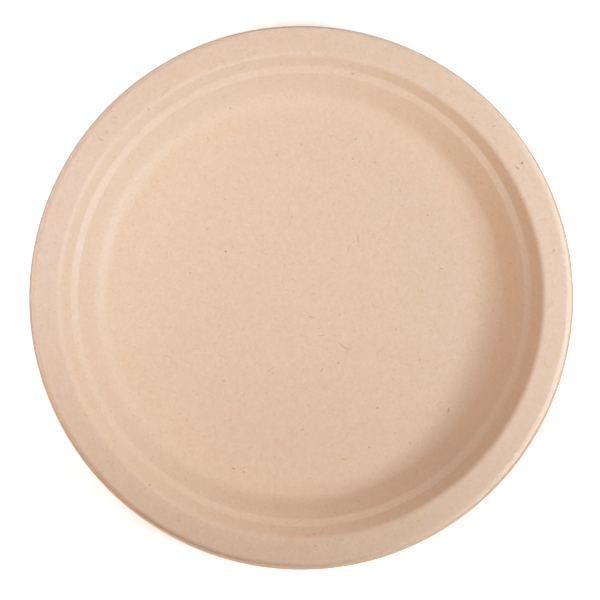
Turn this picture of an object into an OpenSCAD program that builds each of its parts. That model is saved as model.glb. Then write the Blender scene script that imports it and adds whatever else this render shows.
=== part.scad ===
// Round plate pressed from plant fibre pulp in one piece. Its wall is one even thickness,
// bent into a flat floor, a coved side with a stacking ledge, a broad rim and a trimmed edge.

/* [Plate] */
// Diameter over the trimmed edge
plate_d = 229; // [170:1:320]
// Height from the table to the crown of the rim
plate_h = 19; // [14:0.5:36]
// Thickness of the pressed pulp
wall = 0.7; // [0.5:0.05:1.4]

/* [Side] */
// Slope of the side above the level, in degrees
side_angle = 49.5; // [38:0.5:65]
// Inside radius of the cove between the floor and the side
cove_bend = 11; // [2:0.5:14]

/* [Stacking ledge] */
// Depth of the root of the ledge below the crown of the rim
ledge_drop = 5.1; // [3:0.1:8]
// Width of the ledge between its two corners
ledge_w = 3; // [1.4:0.1:6]
// Slope of the ledge down towards the middle, in degrees
ledge_slope = 30; // [0:1:35]
// Inside radius of the bend at the edge of the ledge
ledge_edge_bend = 0.8; // [0.2:0.1:3]
// Inside radius of the bend at the root of the ledge
ledge_root_bend = 2; // [0.4:0.1:4]

/* [Rim] */
// Width of the rim between its inner corner and its lip
rim_w = 11.2; // [7:0.1:30]
// Fall of the rim towards the lip, in degrees
rim_fall = 3; // [0:0.5:8]
// Inside radius of the bend at the inner corner of the rim
rim_bend = 2; // [0.4:0.1:3]
// Inside radius of the bend at the lip
lip_bend = 1.6; // [0.6:0.1:2.5]

/* [Turned down edge] */
// Height of the skirt below the lip
skirt_h = 3.3; // [2.8:0.1:9]
// Slope of the skirt off the upright, in degrees
skirt_draft = 10; // [3:1:25]
// Width of the trimmed edge that stands out from the skirt
trim_w = 1; // [0.8:0.1:4]
// Inside radius of the bend between the skirt and the trimmed edge
trim_bend = 0.4; // [0.2:0.05:0.8]

/* [Hidden] */

// Steps in each bend of the section, and sides of the full turn
bend_steps = 5;
turn_sides = 72;

// The crown of the rim is plate_h high once its inner corner is rounded, so the sharp corner lies above it
crown_r = rim_bend + wall;
crown_reach = crown_r * tan((side_angle + rim_fall) / 2);
rim_corner_z = plate_h + crown_reach * sin(rim_fall) - crown_r * (1 - cos(rim_fall));

// Heights of the food side at the other corners
lip_z = rim_corner_z - rim_w * tan(rim_fall);
trim_z = lip_z - skirt_h;
ledge_root_z = plate_h - ledge_drop;
ledge_edge_z = ledge_root_z - ledge_w * tan(ledge_slope);
floor_z = wall;

// Radii of the corners, from the trimmed edge in to the floor
trim_corner_r = plate_d / 2 - trim_w;
lip_corner_r = trim_corner_r - skirt_h * tan(skirt_draft);
rim_corner_r = lip_corner_r - rim_w;
ledge_root_r = rim_corner_r - (rim_corner_z - ledge_root_z) / tan(side_angle);
ledge_edge_r = ledge_root_r - ledge_w;
floor_corner_r = ledge_edge_r - (ledge_edge_z - floor_z) / tan(side_angle);

// The food side of the section as a line with sharp corners, and the inside radius of the bend at each
corners = [
    [0, floor_z],
    [floor_corner_r, floor_z],
    [ledge_edge_r, ledge_edge_z],
    [ledge_root_r, ledge_root_z],
    [rim_corner_r, rim_corner_z],
    [lip_corner_r, lip_z],
    [trim_corner_r, trim_z],
    [plate_d / 2, trim_z]
];
bends = [0, cove_bend, ledge_edge_bend, ledge_root_bend, rim_bend, lip_bend, trim_bend, 0];
last = len(corners) - 1;

// Unit vector at an angle, and the angle of the line from a to b
function direction(angle) = [cos(angle), sin(angle)];
function heading(a, b) = atan2(b.y - a.y, b.x - a.x);

// Points of the bend at corner i, on the line that lies depth below the food side.
// A bend that turns up has its centre above the wall, and one that turns down has it below.
function bend_points(i, depth) =
    let (
        start = heading(corners[i - 1], corners[i]),
        turn = heading(corners[i], corners[i + 1]) - start,
        side = sign(turn),
        food_r = side > 0 ? bends[i] : bends[i] + wall,
        reach = food_r * tan(abs(turn) / 2),
        centre = corners[i] - reach * direction(start) + side * food_r * direction(start + 90)
    )
    [for (step = [0 : bend_steps])
        centre + (food_r + side * depth) * direction(start + turn * step / bend_steps - side * 90)];

// One face of the wall, from the axis out to the trimmed edge
function face_points(depth) = concat(
    [corners[0] - [0, depth]],
    [for (i = [1 : last - 1]) each bend_points(i, depth)],
    [corners[last] - [0, depth]]
);

function reversed(points) = [for (i = [len(points) - 1 : -1 : 0]) points[i]];

// Section of the pressed wall, from the axis to the trimmed edge
module wall_section() {
    polygon(concat(face_points(0), reversed(face_points(wall))));
}

module plate() {
    color([0.89, 0.77, 0.67])
        rotate_extrude($fn = turn_sides)
            wall_section();
}

plate();
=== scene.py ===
import math

import bmesh
import bpy
from bpy.props import FloatProperty, FloatVectorProperty, IntProperty, PointerProperty
from bpy.types import Operator, Panel, PropertyGroup
from mathutils import Matrix, Vector, noise


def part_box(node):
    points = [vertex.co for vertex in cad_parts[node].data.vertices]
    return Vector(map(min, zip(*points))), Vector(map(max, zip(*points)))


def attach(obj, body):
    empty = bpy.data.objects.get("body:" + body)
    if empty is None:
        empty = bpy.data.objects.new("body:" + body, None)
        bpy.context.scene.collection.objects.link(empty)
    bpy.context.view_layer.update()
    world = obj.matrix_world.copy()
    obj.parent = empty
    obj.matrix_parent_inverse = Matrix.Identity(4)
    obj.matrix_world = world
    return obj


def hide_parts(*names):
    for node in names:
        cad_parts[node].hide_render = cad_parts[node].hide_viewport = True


bl_info = {
    "name": "Pressed Pulp Plate",
    "version": (1, 0, 0),
    "blender": (4, 5, 0),
    "location": "3D View > Sidebar > Plate",
    "description": "Presses a round plate of plant fibre pulp and sets it on a pale table",
    "category": "Add Mesh",
}

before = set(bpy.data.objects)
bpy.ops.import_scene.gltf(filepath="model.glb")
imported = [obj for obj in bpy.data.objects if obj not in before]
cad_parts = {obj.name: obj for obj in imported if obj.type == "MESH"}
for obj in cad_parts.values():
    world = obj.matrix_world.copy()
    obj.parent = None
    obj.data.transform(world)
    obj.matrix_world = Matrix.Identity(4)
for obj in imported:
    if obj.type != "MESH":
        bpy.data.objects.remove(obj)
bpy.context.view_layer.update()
PLATE_LOW, PLATE_HIGH = (Vector(corner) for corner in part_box("plate"))

MM = 0.001
# Width and height of the picture, in pixels
PHOTO_SIDE = 600
WHITE = (1, 1, 1, 1)


def from_display(red, green, blue):
    """A colour as it is seen on a screen, 0 to 255, as the linear values that Blender works in."""
    def linear(level):
        share = level / 255
        if share <= 0.04045:
            return share / 12.92
        return ((share + 0.055) / 1.055) ** 2.4
    return (linear(red), linear(green), linear(blue))


def length(name, description, millimetres):
    """A length on the panel, given in millimetres."""
    return FloatProperty(
        name=name, description=description, default=millimetres * MM,
        min=0, precision=5, subtype="DISTANCE", unit="LENGTH",
    )


def slope(name, description, degrees):
    """A slope on the panel, given in degrees."""
    return FloatProperty(
        name=name, description=description, default=math.radians(degrees),
        precision=3, subtype="ANGLE", unit="ROTATION",
    )


def colour(name, description, *levels):
    """A colour on the panel, given as it is seen on a screen."""
    return FloatVectorProperty(
        name=name, description=description, default=from_display(*levels),
        min=0, max=1, size=3, subtype="COLOR",
    )


class PlateShape(PropertyGroup):
    """Sizes of the moulded plate, as its moulds and trimming die give them."""

    diameter: length("Diameter", "Across the trimmed edge", (PLATE_HIGH.x - PLATE_LOW.x) / MM)
    height: length("Height", "From the table to the crown of the rim", 19)
    wall: length("Wall", "Thickness of the pressed pulp", 0.7)
    side_angle: slope("Side slope", "Slope of the side above the level", 49.5)
    cove_bend: length("Cove bend", "Inside radius between the floor and the side", 11)
    ledge_drop: length("Ledge depth", "Depth of the root of the ledge below the crown of the rim", 5.1)
    ledge_width: length("Ledge width", "Width of the stacking ledge between its corners", 3)
    ledge_slope: slope("Ledge slope", "Slope of the stacking ledge down towards the middle", 30)
    ledge_edge_bend: length("Ledge edge bend", "Inside radius at the edge of the ledge", 0.8)
    ledge_root_bend: length("Ledge root bend", "Inside radius at the root of the ledge", 2)
    rim_width: length("Rim width", "Width of the rim between its inner corner and the lip", 11.2)
    rim_fall: slope("Rim fall", "Fall of the rim towards the lip", 3)
    rim_bend: length("Rim bend", "Inside radius at the inner corner of the rim", 2)
    lip_bend: length("Lip bend", "Inside radius at the lip", 1.6)
    skirt_height: length("Skirt height", "Height of the skirt below the lip", 3.3)
    skirt_draft: slope("Skirt draft", "Slope of the skirt off the upright", 10)
    trim_width: length("Trim width", "Width of the trimmed edge outside the skirt", 1)
    trim_bend: length("Trim bend", "Inside radius between the skirt and the trimmed edge", 0.4)
    trim_shift: length("Trim shift", "How far the mouldings sit off the trimmed edge's centre", 0.35)
    ledge_shift: length("Ledge shift", "How far the ledge sits off the rim, towards the back", 0.4)
    well_shift: length("Well shift", "How far the cove sits off the rim, towards the left", 0.7)
    ledge_sag: length("Ledge sag", "How far the edge of the ledge sags at the front right", 0.5)
    wobble: length("Wobble", "How far the ledge and the rim wander from a true circle", 0.1)
    sides: IntProperty(
        name="Sides", description="Number of sides in the full turn of the plate", default=600, min=24,
    )


class PulpFinish(PropertyGroup):
    """Colours of the pulp, of its painted shade and painted sheen, and of what is in it."""

    # Painted shade and painted sheen: the darker, warmer end and the pale end of the light painted on the
    # pulp; halfway between them is the pulp's own colour, as on the floor
    painted_shade: colour("Pressed pulp", "Pulp at its densest, well past what the side shows", 226, 190, 155)
    painted_sheen: colour("Rubbed pulp", "Pulp at its palest, well past what the rim shows", 235, 205, 182)
    speck: colour("Speck", "Dark specks of bark", 150, 104, 76)
    fleck: colour("Fleck", "Short brown flecks of stalk", 211, 162, 110)
    crumb: colour("Crumb", "Small tan crumbs of straw", 208, 166, 126)
    fibre: colour("Fibre", "Long tan fibres", 212, 164, 118)
    pale_fibre: colour("Pale fibre", "Fibres paler than the pulp", 246, 222, 202)


class PlateStage(PropertyGroup):
    """The table, the lamps and the camera."""

    camera_height: length("Camera height", "Height of the camera above the trimmed edge", 900)
    photo_radius: FloatProperty(
        name="Radius in the picture", description="Radius of the plate in the picture, in pixels",
        default=272.05, subtype="PIXEL",
    )
    photo_x: FloatProperty(
        name="Centre across", description="Centre of the plate in the picture, in pixels from the left",
        default=301.2, subtype="PIXEL",
    )
    photo_y: FloatProperty(
        name="Centre down", description="Centre of the plate in the picture, in pixels from the top",
        default=297.75, subtype="PIXEL",
    )


# Shape of the plate


class SectionLine:
    """A line drawn in the XZ plane by pushing one vertex along straight runs and round bends."""

    def __init__(self, mesh, start):
        self.mesh = mesh
        self.tip = mesh.verts.new(start)
        self.heading = 0.0

    def direction(self, angle):
        """Unit vector at an angle above the level."""
        return Vector((math.cos(angle), 0, math.sin(angle)))

    def run(self, distance, cuts):
        """Draws a straight run, cut into even lengths."""
        for _ in range(cuts):
            made = bmesh.ops.extrude_vert_indiv(self.mesh, verts=[self.tip])
            self.tip = made["verts"][0]
            bmesh.ops.translate(
                self.mesh, verts=[self.tip], vec=self.direction(self.heading) * (distance / cuts),
            )

    def bend(self, turn, radius, steps):
        """Draws a round bend, up for a turn above 0 and down for one below it."""
        side = math.copysign(1, turn)
        centre = self.tip.co + self.direction(self.heading + math.pi / 2) * radius * side
        made = bmesh.ops.spin(
            self.mesh, geom=[self.tip], cent=centre, axis=(0, -1, 0), dvec=(0, 0, 0),
            angle=turn, steps=steps, use_merge=False, use_normal_flip=False, use_duplicate=False,
        )
        self.tip = next(item for item in made["geom_last"] if isinstance(item, bmesh.types.BMVert))
        self.heading += turn


def section_corners(shape):
    """Sharp corners of the food side: distance from the middle, height and radius of the bend."""
    crown = shape.rim_bend + shape.wall
    crown_reach = crown * math.tan((shape.side_angle + shape.rim_fall) / 2)
    crown_drop = crown * (1 - math.cos(shape.rim_fall))
    rim_z = shape.height + crown_reach * math.sin(shape.rim_fall) - crown_drop
    lip_z = rim_z - shape.rim_width * math.tan(shape.rim_fall)
    trim_z = lip_z - shape.skirt_height
    root_z = shape.height - shape.ledge_drop
    edge_z = root_z - shape.ledge_width * math.tan(shape.ledge_slope)
    trim_r = shape.diameter / 2 - shape.trim_width
    lip_r = trim_r - shape.skirt_height * math.tan(shape.skirt_draft)
    rim_r = lip_r - shape.rim_width
    root_r = rim_r - (rim_z - root_z) / math.tan(shape.side_angle)
    edge_r = root_r - shape.ledge_width
    cove_r = edge_r - (edge_z - shape.wall) / math.tan(shape.side_angle)
    return {
        "middle": (0, shape.wall, 0),
        "cove": (cove_r, shape.wall, shape.cove_bend),
        "ledge edge": (edge_r, edge_z, shape.ledge_edge_bend + shape.wall),
        "ledge root": (root_r, root_z, shape.ledge_root_bend),
        "rim": (rim_r, rim_z, crown),
        "lip": (lip_r, lip_z, shape.lip_bend + shape.wall),
        "trim": (trim_r, trim_z, shape.trim_bend),
        "cut": (shape.diameter / 2, trim_z, 0),
    }


# How finely each straight run and each bend of the section is divided, from the middle outwards
RUN_CUTS = (9, 6, 3, 4, 8, 2, 2)
BEND_STEPS = (9, 6, 5, 7, 9, 5)


def draw_section(mesh, shape):
    """Draws the food side of the section, corner by corner."""
    corners = list(section_corners(shape).values())
    places = [Vector((r, 0, z)) for r, z, _ in corners]
    legs = [after - before for before, after in zip(places, places[1:])]
    headings = [math.atan2(leg.z, leg.x) for leg in legs]
    turns = [after - before for before, after in zip(headings, headings[1:])]
    reaches = [corner[2] * math.tan(abs(turn) / 2) for corner, turn in zip(corners[1:], turns)]
    line = SectionLine(mesh, places[0])
    for i, leg in enumerate(legs):
        before = reaches[i - 1] if i > 0 else 0
        after = reaches[i] if i < len(reaches) else 0
        line.run(leg.length - before - after, RUN_CUTS[i])
        if i < len(turns):
            line.bend(turns[i], corners[i + 1][2], BEND_STEPS[i])


# Painted sheen above 0, where highlights fall on the bends, the rim and the lip, and below 0 painted
# shade, darker in the cove and on the sides, at so many millimetres outwards from a corner of the section
SHEEN_AND_SHADE_STOPS = (
    ("cove", -14, 0), ("cove", -10, -0.3), ("cove", -3.5, -1), ("cove", 1.5, 0.5), ("ledge edge", -5, 0),
    ("ledge edge", -1, 0), ("ledge edge", 0.9, 0.8), ("ledge root", -0.4, -0.1), ("rim", -2, -0.6),
    ("rim", 1, 1.6), ("rim", 4.3, 1), ("lip", -2.6, 1.1), ("lip", -0.9, 2.2),
)
# The value, up or down, at which the pulp has the whole of its painted sheen or its painted shade colour
SHEEN_AND_SHADE_REACH = 4
# How much painted shade darkens the front of the rim, where less light falls, against the rest of it
FRONT_PAINTED_SHADE = 1.5

# How often the edges wander in and out, how far that changes from the table to the crown, how often they
# sag, and where the sag reads its noise, away from that of the wander
WANDER_LUMPS = 6
WANDER_DRIFT = 2
SAG_LUMPS = 3
SAG_PLACE = 9


def between(start, end, radius):
    """0 at the start radius and 1 at the end radius, and the same beyond them."""
    return min(1, max(0, (radius - start) / (end - start)))


def painted_sheen_and_shade(mesh, shape):
    """Writes on each vertex how much painted sheen, or below 0 painted shade, colours the pulp there."""
    corners = section_corners(shape)
    rim_r = corners["rim"][0]
    stops = [(corners[name][0] + offset * MM, value) for name, offset, value in SHEEN_AND_SHADE_STOPS]
    layer = mesh.verts.layers.float.new("painted_sheen_and_shade")
    for vert in mesh.verts:
        radius = math.hypot(vert.co.x, vert.co.y)
        outer = next((stop for stop in stops if stop[0] >= radius), stops[-1])
        inner = next((stop for stop in reversed(stops) if stop[0] < radius), stops[0])
        share = (radius - inner[0]) / (outer[0] - inner[0]) if outer[0] > inner[0] else 0
        # The front of the rim takes painted shade, for the lesser light that falls there
        on_rim = between(rim_r - MM, rim_r + MM, radius)
        front = max(0, -vert.co.y / radius) if radius else 0
        vert[layer] = inner[1] + (outer[1] - inner[1]) * share - FRONT_PAINTED_SHADE * on_rim * front


def settle(mesh, shape):
    """Gives the skin the small faults of a real plate: wandering edges, and mouldings off centre."""
    corners = section_corners(shape)
    well_r, edge_r, root_r, rim_r, trim_r, cut_r = (
        corners[name][0] for name in ("cove", "ledge edge", "ledge root", "rim", "trim", "cut")
    )
    for vert in mesh.verts:
        radius = math.hypot(vert.co.x, vert.co.y)
        if radius < well_r:
            continue
        outward = Vector((vert.co.x, vert.co.y, 0)) / radius
        level = vert.co.z / shape.height
        wander_at = outward * WANDER_LUMPS + Vector((0, 0, level * WANDER_DRIFT))
        sag_at = outward * SAG_LUMPS + Vector((0, 0, SAG_PLACE))
        wander = noise.noise(wander_at) * shape.wobble
        sag = (noise.noise(sag_at) - 1) * shape.wobble * level
        held = between(cut_r, trim_r, radius)
        vert.co += outward * wander * held
        vert.co.z += sag * held
    cove_reach = shape.cove_bend * math.tan(shape.side_angle / 2)
    cove_end = well_r + cove_reach * math.cos(shape.side_angle)
    for vert in mesh.verts:
        radius = math.hypot(vert.co.x, vert.co.y)
        held = between(cut_r, trim_r, radius)
        lifted = between(well_r, edge_r, radius)
        leaning = min(lifted, between(rim_r, root_r, radius))
        sagging = min(lifted, between(root_r, edge_r, radius))
        swaying = min(between(0, well_r - cove_reach, radius), between(edge_r, cove_end, radius))
        front_right = max(0, (vert.co.x - vert.co.y) / radius) ** 2 / 2 if radius > well_r else 0
        vert.co.x -= shape.well_shift * swaying
        vert.co.y += shape.trim_shift * held + shape.ledge_shift * leaning
        vert.co.z -= shape.ledge_sag * front_right * sagging


# Vertices closer than this are one, and an edge that turns more than this is shaded as an edge
SAME_PLACE = 0.001 * MM
SHARP_TURN = math.radians(40)


def press_plate(shape):
    """The whole plate as one mesh: a skin spun from its section, then given its wall."""
    mesh = bmesh.new()
    draw_section(mesh, shape)
    bmesh.ops.spin(
        mesh, geom=mesh.verts[:] + mesh.edges[:], cent=(0, 0, 0), axis=(0, 0, 1), dvec=(0, 0, 0),
        angle=math.tau, steps=shape.sides, use_merge=True, use_normal_flip=False, use_duplicate=False,
    )
    bmesh.ops.remove_doubles(mesh, verts=mesh.verts[:], dist=SAME_PLACE)
    bmesh.ops.recalc_face_normals(mesh, faces=mesh.faces[:])
    if max(mesh.faces, key=lambda face: face.calc_area()).normal.z < 0:
        bmesh.ops.reverse_faces(mesh, faces=mesh.faces[:])
    # Painted sheen and painted shade, written on the vertices for the colour of the pulp
    painted_sheen_and_shade(mesh, shape)
    settle(mesh, shape)
    bmesh.ops.solidify(mesh, geom=mesh.faces[:], thickness=shape.wall)
    for face in mesh.faces:
        face.smooth = True
    data = bpy.data.meshes.new("plate_skin")
    mesh.to_mesh(data)
    mesh.free()
    data.set_sharp_from_angle(angle=SHARP_TURN)
    plate = bpy.data.objects.new("pulp_plate", data)
    bpy.context.scene.collection.objects.link(plate)
    return plate


# Finish of the pulp


class Nodes:
    """Adds nodes to one tree, with their inputs given by name or place."""

    def __init__(self, tree):
        self.tree = tree
        self.tree.nodes.clear()

    def add(self, kind, inputs=None, **settings):
        node = self.tree.nodes.new(kind)
        for name, value in settings.items():
            setattr(node, name, value)
        for key, value in (inputs or {}).items():
            if isinstance(value, bpy.types.NodeSocket):
                self.tree.links.new(value, node.inputs[key])
            else:
                node.inputs[key].default_value = value
        return node

    def math(self, operation, first, second=0.0, third=0.0, clamp=False):
        """One sum of numbers."""
        inputs = {0: first, 1: second, 2: third}
        return self.add("ShaderNodeMath", inputs, operation=operation, use_clamp=clamp).outputs[0]

    def move(self, where, offset):
        """A place with an offset added."""
        return self.add("ShaderNodeVectorMath", {0: where, 1: offset}, operation="ADD").outputs[0]

    def noise(self, where, grain, detail, roughness=0.5):
        """Noise from 0 to 1 with lumps about grain millimetres across."""
        node = self.add("ShaderNodeTexNoise", {
            "Vector": where, "Scale": 1 / grain, "Detail": detail, "Roughness": roughness,
        })
        return node.outputs["Fac"]

    def ramp(self, value, low, high, to_low=0.0, to_high=1.0, steps="SMOOTHSTEP"):
        """A value carried from one range over to another, and held at its ends."""
        node = self.add("ShaderNodeMapRange", {
            "Value": value, "From Min": low, "From Max": high, "To Min": to_low, "To Max": to_high,
        }, interpolation_type=steps)
        return node.outputs[0]

    def mix(self, factor, first, second):
        """The first colour at 0 and the second at 1."""
        node = self.add("ShaderNodeMix", {0: factor, 6: first, 7: second}, data_type="RGBA")
        return node.outputs[2]


# How softly a stroke ends, the shortest and the longest half of a strewn one as a share of its length,
# and how far apart two kinds of stroke and two clouds read their patterns, in millimetres
STROKE_SOFTNESS = 0.6
SHORT_HALF = 0.3
LONG_HALF = 0.6
STROKE_STEP = (31.7, 17.3)
CLOUD_STEP = (19.1, 43.7)


def stroke(nodes, along, across, half, wide, bow):
    """Mask of one stroke that bows to one side, from how far a point lies along and across it."""
    sway = nodes.math("MULTIPLY", nodes.math("MULTIPLY", along, along), bow)
    bent = nodes.math("SUBTRACT", across, sway)
    end = nodes.math("POWER", nodes.math("ABSOLUTE", nodes.math("DIVIDE", along, half)), 2)
    edge = nodes.math("POWER", nodes.math("ABSOLUTE", nodes.math("DIVIDE", bent, wide / 2)), 2)
    return nodes.ramp(nodes.math("ADD", end, edge), 1 + STROKE_SOFTNESS, 1 - STROKE_SOFTNESS)


def strewn(nodes, where, seed, spacing, share, long, wide, curl):
    """Mask of strewn strokes, few of them strong, and at most one in each cell of the spacing."""
    placed = nodes.move(where, (STROKE_STEP[0] * seed, STROKE_STEP[1] * seed, 0))
    cells = nodes.add(
        "ShaderNodeTexVoronoi", {"Vector": placed, "Scale": 1 / spacing},
        voronoi_dimensions="2D", feature="F1",
    )
    luck = nodes.add("ShaderNodeSeparateColor", {0: cells.outputs["Color"]})
    turn, chance, size = luck.outputs[0], luck.outputs[1], luck.outputs[2]
    offset = nodes.add(
        "ShaderNodeVectorMath", {0: placed, 1: cells.outputs["Position"]}, operation="SUBTRACT",
    )
    angle = nodes.math("MULTIPLY", turn, math.tau)
    turned = nodes.add(
        "ShaderNodeVectorRotate", {"Vector": offset.outputs[0], "Angle": angle}, rotation_type="Z_AXIS",
    )
    local = nodes.add("ShaderNodeSeparateXYZ", {0: turned.outputs[0]})
    bow = nodes.math("MULTIPLY", nodes.math("SUBTRACT", size, 0.5), 2 * curl / long)
    half = nodes.ramp(size, 0, 1, long * SHORT_HALF, long * LONG_HALF)
    inside = stroke(nodes, local.outputs[0], local.outputs[1], half, wide, bow)
    strength = nodes.math("SUBTRACT", 1, nodes.math("DIVIDE", chance, share), clamp=True)
    return nodes.math("MULTIPLY", inside, strength)


def single(nodes, where, across, up, long, wide, turn, bow):
    """Mask of one stroke at a place of its own, in millimetres from the middle of the plate."""
    laid = {"Vector": where, "Location": (across, up, 0), "Rotation": (0, 0, math.radians(turn))}
    local = nodes.add("ShaderNodeMapping", laid, vector_type="TEXTURE")
    axes = nodes.add("ShaderNodeSeparateXYZ", {0: local.outputs[0]})
    return stroke(nodes, axes.outputs[0], axes.outputs[1], long / 2, wide, bow)


# Fibres, crumbs, flecks and specks that lie strewn in the pulp, in millimetres
STREWN = (
    {"finish": "pale_fibre", "strength": 0.33, "spacing": 6, "share": 0.7,
     "long": 2.0, "wide": 0.4, "curl": 0.6},
    {"finish": "fibre", "strength": 0.32, "spacing": 6, "share": 0.8,
     "long": 3, "wide": 0.4, "curl": 1},
    {"finish": "fibre", "strength": 0.55, "spacing": 24, "share": 0.6,
     "long": 4.2, "wide": 0.42, "curl": 1.2},
    {"finish": "crumb", "strength": 0.5, "spacing": 5.5, "share": 0.7,
     "long": 0.9, "wide": 0.55, "curl": 0},
    {"finish": "fleck", "strength": 0.5, "spacing": 9, "share": 0.7,
     "long": 1.5, "wide": 0.55, "curl": 0.3},
    {"finish": "speck", "strength": 0.4, "spacing": 40, "share": 0.5,
     "long": 0.7, "wide": 0.6, "curl": 0},
)

# The marks that stand out one by one, in millimetres and degrees: place across and up from the middle,
# length, width, turn, bow and strength
SINGLE = (
    ("speck", -32.3, 19.8, 0.9, 0.8, 0, 0, 0.7), ("speck", 32.6, -47.1, 0.8, 0.7, 40, 0, 0.6),
    ("speck", 29.2, -64.0, 0.9, 0.7, 0, 0, 0.45), ("fleck", 15.8, -27.8, 0.9, 0.8, 0, 0, 0.9),
    ("speck", 54.1, 35.4, 0.9, 0.7, 60, 0, 0.45), ("fleck", 50.7, -26.5, 0.9, 0.7, 0, 0, 0.9),
    ("speck", -40.1, 29.4, 0.8, 0.7, 0, 0, 0.45), ("fleck", -47.4, 10.6, 1.2, 0.7, 10, 0, 0.9),
    ("speck", 23.3, 67.8, 1.1, 0.8, 30, 0, 0.33), ("fleck", -33.1, -35.5, 1.2, 0.6, 150, 0, 1),
    ("speck", 42.3, 45.9, 1.4, 0.5, 100, 0, 0.35), ("fleck", 105.9, 19.8, 1.6, 0.7, 110, 0, 0.9),
    ("speck", -30.2, 80.9, 1.1, 0.6, 115, 0, 0.35), ("speck", 0.2, 65.7, 0.9, 0.7, 0, 0, 0.4),
    ("speck", -10.4, 61.1, 0.9, 0.6, 30, 0, 0.4), ("speck", 5.6, -99.3, 1.1, 0.8, 20, 0, 0.28),
    ("fleck", -4.1, 34.6, 1.5, 0.5, 30, 0, 0.8), ("speck", 8.8, -30.9, 2.1, 0.6, 50, 0, 0.4),
    ("fibre", 24.3, 25.3, 5.2, 0.5, 97, -0.04, 0.85), ("fibre", 18.4, -21.2, 6.4, 0.5, 148, -0.08, 0.85),
    ("fibre", -13.1, -30.6, 4.4, 0.45, 32, -0.05, 0.65), ("fibre", 4.2, -8.2, 2.9, 0.45, 158, -0.1, 0.75),
    ("fibre", 13.7, 16.2, 2.6, 0.42, 140, 0, 0.7), ("fibre", 8.6, -16.2, 3.2, 0.4, 5, 0, 0.7),
    ("speck", 92.5, 56.5, 1.3, 0.9, 45, 0, 0.6), ("fleck", 63, -48, 2, 0.9, 80, 0, 1),
    ("fleck", 90.5, 54.5, 2.1, 0.8, 150, 0, 0.8), ("fleck", -29, -73, 1.7, 0.8, 160, 0, 1),
    ("speck", -64, 79, 1.2, 0.7, 105, 0, 0.4), ("fleck", -81.5, 69.5, 1.6, 0.8, 100, 0, 0.7),
    ("fleck", -84, 66.5, 2.6, 0.6, 145, 0, 0.8), ("fleck", 6, -104, 1.3, 0.8, 35, 0, 0.7),
    ("speck", -24.5, -74.5, 1, 0.7, 0, 0, 0.4), ("speck", -63.5, -78.5, 1, 0.7, 110, 0, 0.4),
    ("speck", 81, 72, 1, 0.7, 45, 0, 0.4), ("speck", 22, 59.5, 0.9, 0.7, 90, 0, 0.35),
    ("fleck", 21.5, 94.5, 1.7, 1, 175, 0, 0.6), ("speck", 46.5, -62, 1.1, 0.7, 110, 0, 0.35),
    ("speck", 0.5, -56.5, 1.1, 0.7, 0, 0, 0.33), ("fleck", 60, 12.5, 1.6, 0.7, 170, 0, 0.8),
    ("fleck", 40.5, -13.5, 1.2, 0.7, 40, 0, 0.8), ("speck", 82, -5.5, 1.1, 0.7, 70, 0, 0.3),
    ("fibre", 18, -69, 2.6, 0.6, 170, 0, 0.8), ("speck", -56.5, 87, 3.4, 0.4, 40, 0, 0.3),
)

# How strongly each cloud in the pulp shows in red, green and blue, and its lumps as (millimetres, depth)
CLOUDS = (
    {"tint": (0.38, 0.6, 1.0), "lumps": ((4, 0.07), (1.3, 0.13), (0.55, 0.24))},
    {"tint": (0, 0.4, 1.0), "lumps": ((2.6, 0.11), (1.3, 0.2))},
)

# Where the underside reads its pattern, so that its marks aren't those of the food side
UNDERSIDE_PLACE = (253.1, 237.7, 0)
# The fuzz of the moulded skin: its grain in millimetres, how broken it is, its height, and how rough it
# leaves the pulp where it lies between its low and its high share
FUZZ_GRAIN = 0.3
FUZZ_BREAK = 0.7
FUZZ_HEIGHT = 0.01 * MM
FUZZ_LOW = 0.3
FUZZ_HIGH = 0.7
SMOOTHEST = 0.47
ROUGHEST = 0.55
SHINE = 0.35
# The wire screen that prints the underside: its spacing in millimetres, and its depth beside the fuzz
WIRE_SPACING = 0.8
WIRE_PRINT = 0.5


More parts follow.
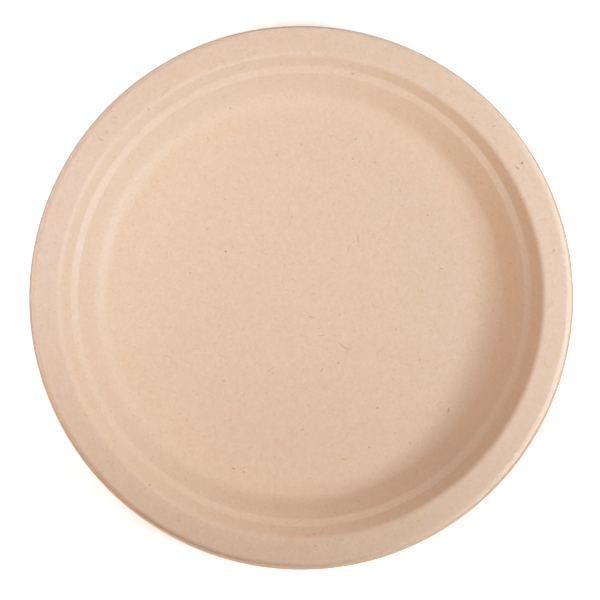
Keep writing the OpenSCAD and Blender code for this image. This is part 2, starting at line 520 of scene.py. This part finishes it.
def pulp_material(finish):
    """Moulded plant fibre, painted sheen and shade: clouds, fibres, crumbs, flecks and specks, with a
    screen print underneath.
    """
    material = bpy.data.materials.new("pulp_with_painted_sheen_and_shade")
    material.use_nodes = True
    nodes = Nodes(material.node_tree)
    coords = nodes.add("ShaderNodeTexCoord")
    place = nodes.add(
        "ShaderNodeVectorMath", {0: coords.outputs["Object"], 3: 1 / MM}, operation="SCALE",
    ).outputs[0]
    facing = nodes.add("ShaderNodeSeparateXYZ", {0: coords.outputs["Normal"]}).outputs[2]
    under = nodes.math("LESS_THAN", facing, 0)
    side_shift = nodes.add(
        "ShaderNodeVectorMath", {0: UNDERSIDE_PLACE, 3: under}, operation="SCALE",
    ).outputs[0]
    spot = nodes.move(place, side_shift)

    # Painted light: the pulp pales towards painted sheen on the bends, the rim and the lip, and darkens
    # towards painted shade in the cove, on the sides and at the front of the rim
    painted_sheen = nodes.add("ShaderNodeAttribute", attribute_name="painted_sheen_and_shade").outputs["Fac"]
    paling = nodes.ramp(painted_sheen, -SHEEN_AND_SHADE_REACH, SHEEN_AND_SHADE_REACH, steps="LINEAR")
    body = nodes.mix(paling, (*finish.painted_shade, 1), (*finish.painted_sheen, 1))
    for seed, cloud in enumerate(CLOUDS):
        density = 0.0
        for lump, depth in cloud["lumps"]:
            drift = nodes.move(spot, (CLOUD_STEP[0] * seed + lump, CLOUD_STEP[1] * seed, 0))
            speckle = nodes.math("SUBTRACT", nodes.noise(drift, lump, detail=0), 0.5)
            density = nodes.math("MULTIPLY_ADD", speckle, depth, density)
        tone = nodes.add(
            "ShaderNodeVectorMath", {0: density, 1: cloud["tint"], 2: (1, 1, 1)}, operation="MULTIPLY_ADD",
        ).outputs[0]
        body = nodes.add("ShaderNodeVectorMath", {0: body, 1: tone}, operation="MULTIPLY").outputs[0]

    for seed, mark in enumerate(STREWN, 1):
        mask = strewn(
            nodes, spot, seed, mark["spacing"], mark["share"], mark["long"], mark["wide"], mark["curl"],
        )
        tint = (*getattr(finish, mark["finish"]), 1)
        body = nodes.mix(nodes.math("MULTIPLY", mask, mark["strength"]), body, tint)
    for name, across, up, long, wide, turn, bow, strength in SINGLE:
        mask = single(nodes, spot, across, up, long, wide, turn, bow)
        tint = (*getattr(finish, name), 1)
        body = nodes.mix(nodes.math("MULTIPLY", mask, strength), body, tint)

    fuzz = nodes.noise(spot, FUZZ_GRAIN, detail=2, roughness=FUZZ_BREAK)
    axes = nodes.add("ShaderNodeSeparateXYZ", {0: place})
    wire = math.tau / WIRE_SPACING
    weave = nodes.math(
        "MULTIPLY",
        nodes.math("SINE", nodes.math("MULTIPLY", axes.outputs[0], wire)),
        nodes.math("SINE", nodes.math("MULTIPLY", axes.outputs[1], wire)),
    )
    print_depth = nodes.math("MULTIPLY", nodes.math("MULTIPLY", weave, under), WIRE_PRINT)
    relief = nodes.math("ADD", fuzz, print_depth)
    bump = nodes.add("ShaderNodeBump", {"Strength": 1.0, "Distance": FUZZ_HEIGHT, "Height": relief})
    roughness = nodes.ramp(fuzz, FUZZ_LOW, FUZZ_HIGH, SMOOTHEST, ROUGHEST)
    shader = nodes.add("ShaderNodeBsdfPrincipled", {
        "Base Color": body, "Roughness": roughness, "Normal": bump.outputs[0],
        "Specular IOR Level": SHINE,
    })
    output = nodes.add("ShaderNodeOutputMaterial", {0: shader.outputs[0]})
    output.is_active_output = True
    return material


# Table, lamps and camera


def camera_ray_share(nodes):
    """1 for what the camera sees straight, in a gloss or through glass, and 0 for other rays."""
    path = nodes.add("ShaderNodeLightPath")
    seen = nodes.math("MAXIMUM", path.outputs["Is Camera Ray"], path.outputs["Is Glossy Ray"])
    return nodes.math("MAXIMUM", seen, path.outputs["Is Transmission Ray"])


# The table: half its side and how far it lies below the plate, in metres, how white its paint is, and how
# far the camera sees it lifted towards white between two distances from the middle, in metres
TABLE_REACH = 3
TABLE_DROP = 0.02 * MM
TABLE_PAINT = (0.8, 0.8, 0.8, 1)
NEAR_AWAY = 0.14
NEAR_LIFT = 0.62
FAR_AWAY = 0.3
FAR_LIFT = 1.0


def table_material():
    """White paint, lifted in part near the plate, where it keeps the shadow, and fully beyond."""
    material = bpy.data.materials.new("white_table")
    material.use_nodes = True
    nodes = Nodes(material.node_tree)
    coords = nodes.add("ShaderNodeTexCoord")
    away = nodes.add("ShaderNodeVectorMath", {0: coords.outputs["Object"]}, operation="LENGTH")
    share = nodes.ramp(away.outputs["Value"], NEAR_AWAY, FAR_AWAY, NEAR_LIFT, FAR_LIFT)
    lifted = nodes.math("MULTIPLY", camera_ray_share(nodes), share)
    paint = nodes.add("ShaderNodeBsdfDiffuse", {"Color": TABLE_PAINT})
    lift = nodes.add("ShaderNodeEmission", {"Color": WHITE, "Strength": lifted})
    both = nodes.add("ShaderNodeAddShader", {0: paint.outputs[0], 1: lift.outputs[0]})
    nodes.add("ShaderNodeOutputMaterial", {0: both.outputs[0]})
    return material


def lay_table():
    """A flat table just under the plate."""
    mesh = bmesh.new()
    bmesh.ops.create_grid(mesh, x_segments=1, y_segments=1, size=TABLE_REACH)
    bmesh.ops.translate(mesh, verts=mesh.verts[:], vec=(0, 0, -TABLE_DROP))
    data = bpy.data.meshes.new("table")
    mesh.to_mesh(data)
    mesh.free()
    table = bpy.data.objects.new("table", data)
    bpy.context.scene.collection.objects.link(table)
    data.materials.append(table_material())
    return table


# Soft lamps, and low cards that light only the skirt and the lip: bearings and spread in degrees, from the
# right and above the table, sizes and aim in metres, and power in watts
LAMPS = {
    "key": {
        "azimuth": -15, "elevation": 38, "distance": 0.8, "wide": 0.3, "tall": 0.3,
        "power": 0.84, "tint": (0.7, 0.84, 1), "spread": 60, "aim": (0.023, 0.087),
    },
    "low key": {
        "azimuth": 30, "elevation": 12, "distance": 3, "wide": 1.2, "tall": 1.2,
        "power": 28, "tint": (1, 0.79, 0.48), "spread": 180, "aim": (0, 0),
    },
    "fill": {
        "azimuth": 150, "elevation": 38, "distance": 0.5, "wide": 0.2, "tall": 0.2,
        "power": 0.445, "tint": (1, 0.83, 0.81), "spread": 180, "aim": (0, 0),
    },
    "top fill": {
        "azimuth": 195, "elevation": 52, "distance": 0.8, "wide": 0.3, "tall": 0.3,
        "power": 0.334, "tint": (1, 0.95, 0.7), "spread": 60, "aim": (-0.023, 0.087),
    },
    "sky card": {
        "azimuth": 165, "elevation": 45, "distance": 0.22, "wide": 0.06, "tall": 0.06,
        "power": 0.055, "tint": (0.03, 0.43, 1), "spread": 180, "aim": (0, 0),
    },
    "warm card": {
        "azimuth": 195, "elevation": 38, "distance": 0.8, "wide": 0.3, "tall": 0.3,
        "power": 0.06, "tint": (1, 0.05, 0.03), "spread": 60, "aim": (0.023, -0.087),
    },
    "back card": {
        "azimuth": 98, "elevation": 2.4, "distance": 0.3, "wide": 0.12, "tall": 0.02,
        "power": 0.147, "tint": (0.68, 0.84, 1), "spread": 180, "aim": (0, 0),
    },
    "left card": {
        "azimuth": 182, "elevation": 2.4, "distance": 0.3, "wide": 0.12, "tall": 0.02,
        "power": 0.075, "tint": (0.7, 0.86, 1), "spread": 180, "aim": (0, 0),
    },
    "front card": {
        "azimuth": 300, "elevation": 2.4, "distance": 0.3, "wide": 0.12, "tall": 0.02,
        "power": 0.07, "tint": (1, 0.65, 0.3), "spread": 180, "aim": (0, 0),
    },
}
# The room adds no light of its own, so every shadow is the lamps'
ROOM_LIGHT = 0.0


def hang_lamp(name, azimuth, elevation, distance, wide, tall, power, tint, spread, aim):
    """A lamp or lit card at a bearing from the middle of the plate, turned to a point of the table."""
    lamp = bpy.data.lights.new(name, "AREA")
    lamp.shape = "RECTANGLE"
    lamp.size = wide
    lamp.size_y = tall
    lamp.energy = power
    lamp.spread = math.radians(spread)
    lamp.color = tint
    holder = bpy.data.objects.new(name, lamp)
    bpy.context.scene.collection.objects.link(holder)
    across = math.radians(azimuth)
    up = math.radians(elevation)
    bearing = Vector((math.cos(across) * math.cos(up), math.sin(across) * math.cos(up), math.sin(up)))
    place = bearing * distance
    back = place - Vector((*aim, 0))
    holder.matrix_world = Matrix.Translation(place) @ back.to_track_quat("Z", "Y").to_matrix().to_4x4()
    return holder


def light_world():
    """A dark room that the camera sees as white."""
    world = bpy.data.worlds.new("studio")
    world.use_nodes = True
    nodes = Nodes(world.node_tree)
    seen = camera_ray_share(nodes)
    light = nodes.add("ShaderNodeBackground", {"Color": WHITE, "Strength": ROOM_LIGHT})
    white = nodes.add("ShaderNodeBackground", {"Color": WHITE, "Strength": 1.0})
    both = nodes.add("ShaderNodeMixShader", {0: seen, 1: light.outputs[0], 2: white.outputs[0]})
    nodes.add("ShaderNodeOutputWorld", {0: both.outputs[0]})
    bpy.context.scene.world = world


# Width of the camera's sensor, in millimetres, and how far it sees, in metres
SENSOR = 36
SIGHT = 20


def hang_camera(stage, shape):
    """A camera that looks straight down and frames the plate as the photograph does."""
    camera = bpy.data.cameras.new("camera")
    holder = bpy.data.objects.new("camera", camera)
    bpy.context.scene.collection.objects.link(holder)
    pixel = shape.diameter / 2 / stage.photo_radius
    trim_z = section_corners(shape)["trim"][1]
    camera.sensor_fit = "HORIZONTAL"
    camera.sensor_width = SENSOR
    camera.lens = camera.sensor_width * stage.camera_height / (pixel * PHOTO_SIDE)
    camera.clip_end = SIGHT
    middle = PHOTO_SIDE / 2
    holder.location = (
        (middle - stage.photo_x) * pixel,
        (stage.photo_y - middle) * pixel,
        trim_z + stage.camera_height,
    )
    bpy.context.scene.camera = holder


# Operators and panel


class MESH_OT_pulp_plate_press(Operator):
    """Press the plate, finish its pulp and put it in place of the plain solid"""

    bl_idname = "mesh.pulp_plate_press"
    bl_label = "Press the plate"

    def execute(self, context):
        plate = press_plate(context.scene.plate_shape)
        plate.data.materials.append(pulp_material(context.scene.pulp_finish))
        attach(plate, "root")
        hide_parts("plate")
        return {"FINISHED"}


class SCENE_OT_plate_stage(Operator):
    """Lay the pale table, hang the lamps and set the camera above the plate"""

    bl_idname = "scene.plate_stage"
    bl_label = "Set the table, lamps and camera"

    def execute(self, context):
        lay_table()
        light_world()
        for name, lamp in LAMPS.items():
            hang_lamp(name, **lamp)
        hang_camera(context.scene.plate_stage, context.scene.plate_shape)
        context.scene.view_settings.view_transform = "Standard"
        return {"FINISHED"}


class VIEW3D_PT_pulp_plate(Panel):
    """Sizes, finish and stage of the plate"""

    bl_label = "Pulp plate"
    bl_idname = "VIEW3D_PT_pulp_plate"
    bl_space_type = "VIEW_3D"
    bl_region_type = "UI"
    bl_category = "Plate"

    def draw(self, context):
        groups = (
            (context.scene.plate_shape, MESH_OT_pulp_plate_press),
            (context.scene.pulp_finish, None),
            (context.scene.plate_stage, SCENE_OT_plate_stage),
        )
        for group, operator in groups:
            column = self.layout.column(align=True)
            for name in group.__annotations__:
                column.prop(group, name)
            if operator:
                column.operator(operator.bl_idname)


CLASSES = (
    PlateShape, PulpFinish, PlateStage,
    MESH_OT_pulp_plate_press, SCENE_OT_plate_stage, VIEW3D_PT_pulp_plate,
)


def register():
    for cls in CLASSES:
        bpy.utils.register_class(cls)
    bpy.types.Scene.plate_shape = PointerProperty(type=PlateShape)
    bpy.types.Scene.pulp_finish = PointerProperty(type=PulpFinish)
    bpy.types.Scene.plate_stage = PointerProperty(type=PlateStage)


def unregister():
    del bpy.types.Scene.plate_stage
    del bpy.types.Scene.pulp_finish
    del bpy.types.Scene.plate_shape
    for cls in reversed(CLASSES):
        bpy.utils.unregister_class(cls)


def main():
    register()
    bpy.ops.mesh.pulp_plate_press()
    bpy.ops.scene.plate_stage()


if __name__ == "__main__":
    main()
